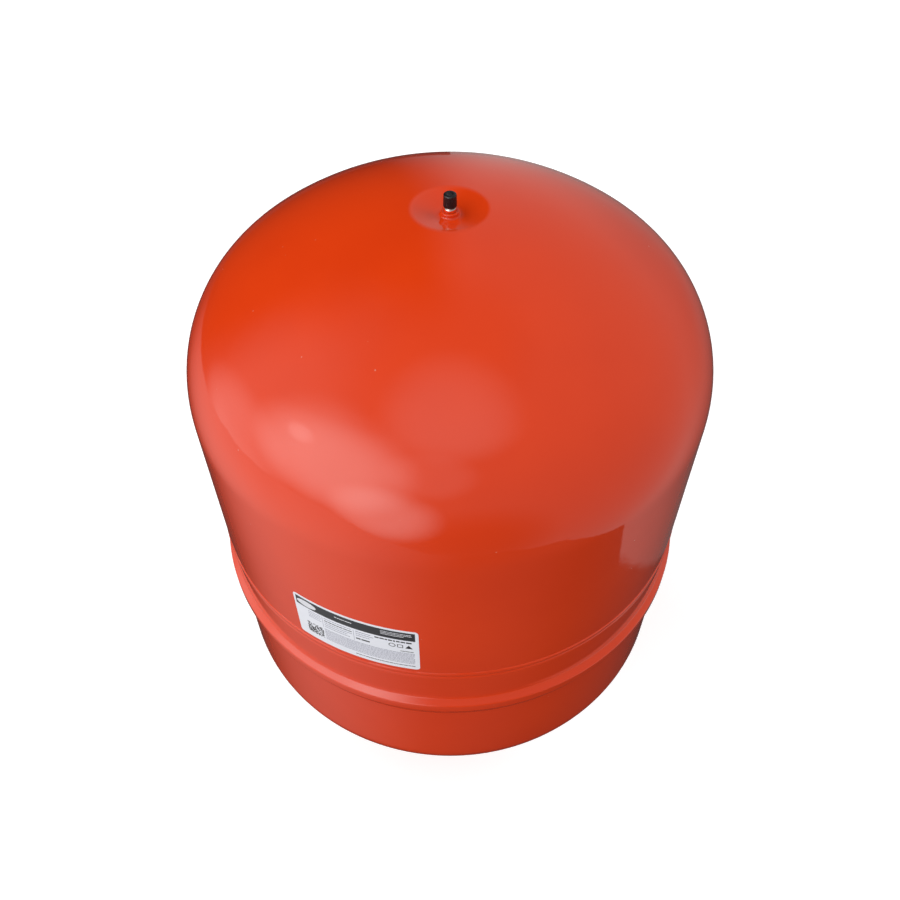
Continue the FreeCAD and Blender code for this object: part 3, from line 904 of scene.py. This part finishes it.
class Sheet:
    """Thin plates wrapped round the body; x to the reader's right, y up, from the label's middle."""

    def __init__(self):
        self.vertices = []
        self.faces = []

    def point(self, x, y, proud):
        angle = LABEL_AZIMUTH + x / BODY_RADIUS
        height = (LABEL_LOW.z + LABEL_HIGH.z) / 2 + y
        radius = waved(BODY_RADIUS, height, angle)[0] + proud
        return (radius * math.cos(angle), radius * math.sin(angle), height)

    def columns(self, columns, low, high):
        """A plate given as (x, bottom, top) columns, from proud low to proud high."""
        rows = 4
        first = len(self.vertices)
        stride = 2 * (rows + 1)
        for x, bottom, top in columns:
            for proud in (high, low):
                for row in range(rows + 1):
                    self.vertices.append(self.point(x, bottom + (top - bottom) * row / rows, proud))
        count = len(columns)
        for column in range(count - 1):
            here = first + column * stride
            there = here + stride
            back = rows + 1
            for row in range(rows):
                near, far = here + row, there + row
                self.faces.append((near, far, far + 1, near + 1))
                self.faces.append((near + back + 1, far + back + 1, far + back, near + back))
            self.faces.append((here + back, there + back, there, here))
            self.faces.append((here + rows, there + rows, there + back + rows, here + back + rows))
        for edge, flip in ((first, False), (first + (count - 1) * stride, True)):
            for row in range(rows):
                face = (edge + row, edge + row + 1, edge + rows + 2 + row, edge + rows + 1 + row)
                self.faces.append(face[::-1] if flip else face)

    def bar(self, left, bottom, right, top, proud=PRINT):
        columns = [(x, bottom, top) for x in steps(left, right, 0.003)]
        self.columns(columns, PRINT_ROOT, proud)

    def disc(self, x, y, half_width, half_height):
        columns = []
        for angle in steps(math.pi - 0.06, 0.06, math.radians(9)):
            half = half_height * math.sin(angle)
            columns.append((x + half_width * math.cos(angle), y - half, y + half))
        self.columns(columns, PRINT_ROOT, OVERPRINT)

    def words(self, random_source, left, right, y, size, proud=PRINT):
        """A row of short bars, like lines of small print seen from too far to read."""
        gap = size * 0.35
        x = left
        while x < right - size:
            length = size * random_source.uniform(0.8, 3.6)
            self.bar(x, y - size / 2, min(right, x + length), y + size / 2, proud)
            x += length + gap

    def piece(self, name, material, slot):
        made = mesh_piece(name, self.vertices, self.faces)
        dress(made, material, slot, "vessel")
        return made


def label(film_finish, black, grey, pale):
    """Data label: dark band, invented code square, rows of print and three simple marks."""
    width, height = LABEL_WIDTH, LABEL_HIGH.z - LABEL_LOW.z

    def x(share):
        return (share - 0.5) * width

    def y(share):
        return (share - 0.5) * height

    face = Sheet()
    columns = []
    for place in steps(-width / 2, width / 2, 0.0006):
        inset = max(0, LABEL_CORNER - (width / 2 - abs(place)))
        rise = LABEL_CORNER - math.sqrt(max(0, LABEL_CORNER ** 2 - inset ** 2))
        columns.append((place, -height / 2 + rise, height / 2 - rise))
    face.columns(columns, -0.00003, FILM)
    made = face.piece("label_sheet", film_finish, "label_film")
    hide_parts("label")

    source = random.Random(50)
    dark, mid, light = Sheet(), Sheet(), Sheet()
    dark.bar(x(0.02), y(0.755), x(0.975), y(0.955))
    light.disc(x(0.115), y(0.845), 0.0085, 0.0038)
    light.words(source, x(0.36), x(0.50), y(0.872), 0.0009, OVERPRINT)
    light.words(source, x(0.72), x(0.95), y(0.905), 0.0007, OVERPRINT)
    light.words(source, x(0.72), x(0.95), y(0.870), 0.0007, OVERPRINT)
    light.words(source, x(0.72), x(0.90), y(0.835), 0.0007, OVERPRINT)
    for row in range(4):
        mid.words(source, x(0.12), x(0.23), y(0.70 - 0.045 * row), 0.0007)
    cell = 0.0009
    for column in range(16):
        for row in range(16):
            if source.random() < 0.52:
                left, bottom = x(0.09) + column * cell, y(0.13) + row * cell
                dark.bar(left, bottom, left + cell, bottom + cell)
    mid.bar(x(0.243), y(0.45), x(0.246), y(0.72))
    mid.bar(x(0.503), y(0.45), x(0.506), y(0.72))
    mid.words(source, x(0.26), x(0.49), y(0.70), 0.0008)
    dark.words(source, x(0.26), x(0.49), y(0.645), 0.0011)
    mid.words(source, x(0.26), x(0.49), y(0.59), 0.0008)
    mid.words(source, x(0.26), x(0.45), y(0.54), 0.0008)
    mid.words(source, x(0.26), x(0.47), y(0.49), 0.0008)
    mid.words(source, x(0.52), x(0.64), y(0.70), 0.0008)
    mid.words(source, x(0.52), x(0.66), y(0.65), 0.0008)
    mid.words(source, x(0.52), x(0.64), y(0.60), 0.0008)
    dark.words(source, x(0.52), x(0.64), y(0.52), 0.0018)
    dark.words(source, x(0.67), x(0.97), y(0.70), 0.0017)
    ring(dark, x(0.80), y(0.59), 0.0026)
    square(dark, x(0.86), y(0.59), 0.0022)
    triangle(dark, x(0.925), y(0.59), 0.0027)
    dark.words(source, x(0.86), x(0.96), y(0.465), 0.0009)
    for row in range(9):
        mid.words(source, x(0.25), x(0.965), y(0.415 - 0.033 * row), 0.00075)
    dark.words(source, x(0.5), x(0.965), y(0.08), 0.0009)
    dark.piece("label_black", black, "label_film")
    mid.piece("label_grey", grey, "label_film")
    light.piece("label_white", pale, "label_film")


def ring(sheet, x, y, size):
    """Circle drawn with short upright strokes of its outline."""
    stroke = 0.0007
    outer, inner = [], []
    for angle in steps(math.pi - 0.05, 0.05, math.radians(12)):
        outer.append((x + size * math.cos(angle), size * math.sin(angle)))
    for place, half in outer:
        within = (size - stroke) ** 2 - (place - x) ** 2
        inner.append(math.sqrt(within) if within > 0 else 0)
    upper = [(place, y + gap, y + half) for (place, half), gap in zip(outer, inner)]
    lower = [(place, y - half, y - gap) for (place, half), gap in zip(outer, inner)]
    sheet.columns(upper, PRINT_ROOT, PRINT)
    sheet.columns(lower, PRINT_ROOT, PRINT)


def square(sheet, x, y, size):
    """Outline of a square."""
    stroke = 0.0006
    sheet.bar(x - size, y - size, x - size + stroke, y + size)
    sheet.bar(x + size - stroke, y - size, x + size, y + size)
    sheet.bar(x - size, y - size, x + size, y - size + stroke)
    sheet.bar(x - size, y + size - stroke, x + size, y + size)


def triangle(sheet, x, y, size):
    """Filled triangle, point up."""
    columns = []
    for place in steps(-size, size, size / 8):
        columns.append((x + place, y - size * 0.8, y - size * 0.8 + 1.7 * (size - abs(place)) + 0.0001))
    sheet.columns(columns, PRINT_ROOT, PRINT)


# ---------------------------------------------------------------- studio

def camera():
    """Camera in front of the vessel, looking down on it."""
    data = bpy.data.cameras.new("camera")
    data.lens = CAMERA_LENS
    data.sensor_width = CAMERA_SENSOR
    data.shift_y = CAMERA_SHIFT
    data.clip_start = 0.01
    view = bpy.data.objects.new("camera", data)
    view.location = CAMERA_PLACE
    view.rotation_euler = (CAMERA_TILT, 0, 0)
    bpy.context.scene.collection.objects.link(view)
    bpy.context.scene.camera = view


def floor():
    """Plain pale floor, which neither the gloss nor the diffuse light sees."""
    finish = Finish("pale_floor", Specular_IOR_Level=0.1)
    speckle = finish.noise(3, 2)
    finish.set("Base Color", finish.mix(speckle, colour(0.90, 0.90, 0.90), colour(0.87, 0.87, 0.87)))
    finish.set("Roughness", 0.8)
    finish.set("Emission Color", colour(1, 1, 1))
    finish.set("Emission Strength", FLOOR_GLOW)
    near, far = -FLOOR_SIZE, FLOOR_SIZE
    corners = [(near, near, 0), (far, near, 0), (far, far, 0), (near, far, 0)]
    plane = mesh_piece("studio_floor", corners, [(0, 1, 2, 3)])
    plane.data.materials.append(finish.material)
    plane.visible_glossy = False
    plane.visible_diffuse = False


def bearing(azimuth, elevation):
    """Unit vector; azimuth 0 is away from the camera and 90 is to its right."""
    turn, rise = math.radians(azimuth), math.radians(elevation)
    return (math.sin(turn) * math.cos(rise), math.cos(turn) * math.cos(rise), math.sin(rise))


def lobe(sky, azimuth, elevation, inner, outer, strength):
    """Round soft light: full within inner degrees of its middle, nothing beyond outer."""
    facing = sky.along(bearing(azimuth, elevation))
    return sky.ramp(facing, math.cos(math.radians(outer)), math.cos(math.radians(inner)), 0, strength)


def room_light(sky, up, diffuse):
    """Plain room less its darker parts, and the windows, which diffuse rays see dimmed."""
    room = sky.ramp(up, 0.85, 1.0, ROOM_SIDE, ROOM_TOP)
    flag = sky.calc(
        "MULTIPLY",
        sky.ramp(sky.along((-1, 0, 0)), -0.12, 0.16),
        sky.ramp(sky.along(bearing(10, 0)), -0.1, 0.42, 0.0, 0.97),
    )
    for taken in [flag] + [lobe(sky, *shade) for shade in SHADES]:
        room = sky.calc("MULTIPLY", room, sky.calc("SUBTRACT", 1.0, taken))
    windows = 0.0
    for light in WINDOWS:
        windows = sky.calc("ADD", windows, lobe(sky, *light))
    share = sky.ramp(diffuse, 0.0, 1.0, 1.0, WINDOW_FILL)
    return sky.calc("ADD", room, sky.calc("MULTIPLY", windows, share))


def ground_light(sky):
    """Ground in the reflections, brightest towards the windows at the left."""
    return sky.calc(
        "ADD",
        sky.ramp(sky.along(bearing(-115, 0)), 0.2, 1.0, 0.035, 0.9),
        sky.ramp(sky.along(bearing(180, 0)), 0.2, 0.6, 0.0, 0.08),
    )


def ground_edge(sky):
    """Height of the ground's edge in each direction, ragged at the front and left."""
    swing = sky.calc("ARCTAN2", sky.along((1, 0, 0)), sky.along((0, -1, 0)))
    edge = HORIZON_LEFT
    for first, last, change in HORIZON_CHANGES:
        edge = sky.calc("ADD", edge, sky.ramp(swing, math.radians(first), math.radians(last), 0.0, change))
    rough = sky.ramp(swing, math.radians(50), math.radians(85), 0.10, 0.006)
    ragged = sky.calc("MULTIPLY", sky.calc("SUBTRACT", sky.noise(6, 5, 0.6), 0.5), rough)
    return sky.calc("ADD", edge, ragged)


def studio():
    """Soft studio: the room and ground that light the vessel, a plain backdrop, and the softboxes."""
    world = bpy.data.worlds.new("studio")
    world.use_nodes = True
    sky = Wiring(world.node_tree, "Generated")
    rays = sky.add("ShaderNodeLightPath")
    up = sky.along((0, 0, 1))
    room = room_light(sky, up, rays.outputs["Is Diffuse Ray"])
    ground = ground_light(sky)
    above = sky.calc("SUBTRACT", up, ground_edge(sky))
    seen = sky.mix(sky.ramp(above, -0.004, 0.004), ground, room)
    lit = sky.add("ShaderNodeBackground")
    sky.feed(lit.inputs["Color"], seen)
    backdrop = sky.add("ShaderNodeBackground")
    backdrop.inputs["Color"].default_value = colour(BACKDROP, BACKDROP, BACKDROP)
    either = sky.add("ShaderNodeMixShader")
    sky.feed(either.inputs[0], rays.outputs["Is Camera Ray"])
    sky.feed(either.inputs[1], lit.outputs["Background"])
    sky.feed(either.inputs[2], backdrop.outputs["Background"])
    output = sky.add("ShaderNodeOutputWorld")
    sky.feed(output.inputs["Surface"], either.outputs["Shader"])
    bpy.context.scene.world = world
    for light in SOFTBOXES:
        softbox(*light)
    bpy.context.scene.view_settings.view_transform = "Standard"


def softbox(name, place, size, power):
    """Broad round lamp aimed at the vessel, which doesn't show in its gloss."""
    data = bpy.data.lights.new(name, "AREA")
    data.shape = "DISK"
    data.size = size
    data.energy = power
    lamp = bpy.data.objects.new(name, data)
    lamp.location = place
    lamp.rotation_euler = (Vector(place) - Vector((0, 0, 0.4))).to_track_quat("Z", "Y").to_euler()
    lamp.visible_glossy = False
    bpy.context.scene.collection.objects.link(lamp)


# ---------------------------------------------------------------- making

red = paint("body_paint", 0.000018, 0.5)
red_weld = paint("weld_paint", 0.00004, 0.7)
red_leg = paint("leg_paint", 0.00003, 0.8)
steel = bare_steel()
nickel = plated("nickel", colour(0.62, 0.60, 0.55), colour(0.74, 0.72, 0.68), 0.22, 9000)
zinc = plated("zinc_steel", colour(0.48, 0.49, 0.50), colour(0.60, 0.60, 0.58), 0.34, 5000)
brass = plated("brass", colour(0.72, 0.50, 0.20), colour(0.80, 0.58, 0.27), 0.24, 9000)
spring_steel = plated("spring_steel", colour(0.36, 0.36, 0.37), colour(0.46, 0.46, 0.47), 0.3, 9000)
ring_steel = plated("ring_steel", colour(0.42, 0.43, 0.45), colour(0.55, 0.56, 0.57), 0.4, 900)
butyl = rubber("diaphragm_rubber", 0.014, 0.03)
seal = rubber("seal_rubber", 0.01, 0.02)

upper_shell(red, steel)
lower_shell(red, steel)
seam_weld(red_weld)
boss(red)
boss_weld(red_weld)
stem(nickel, red)
cap(cap_plastic())
core_spring(spring_steel)
nipple(zinc)
nipple_weld(red_weld)
diaphragm(butyl)
legs(red_leg)
leg_welds(red_weld)
label(
    film(),
    ink("print_black", colour(0.012, 0.012, 0.016), colour(0.03, 0.03, 0.035)),
    ink("print_grey", colour(0.20, 0.20, 0.27), colour(0.36, 0.36, 0.44)),
    ink("print_white", colour(0.80, 0.80, 0.84), colour(0.70, 0.70, 0.75)),
)
dress_nodes(ring_steel, "clamping_ring", "inlet_guard")
dress_nodes(brass, "core_body", "core_pin", "core_cup")
dress_nodes(seal, "stem_seal", "core_seal", "cap_seal")

floor()
camera()
studio()
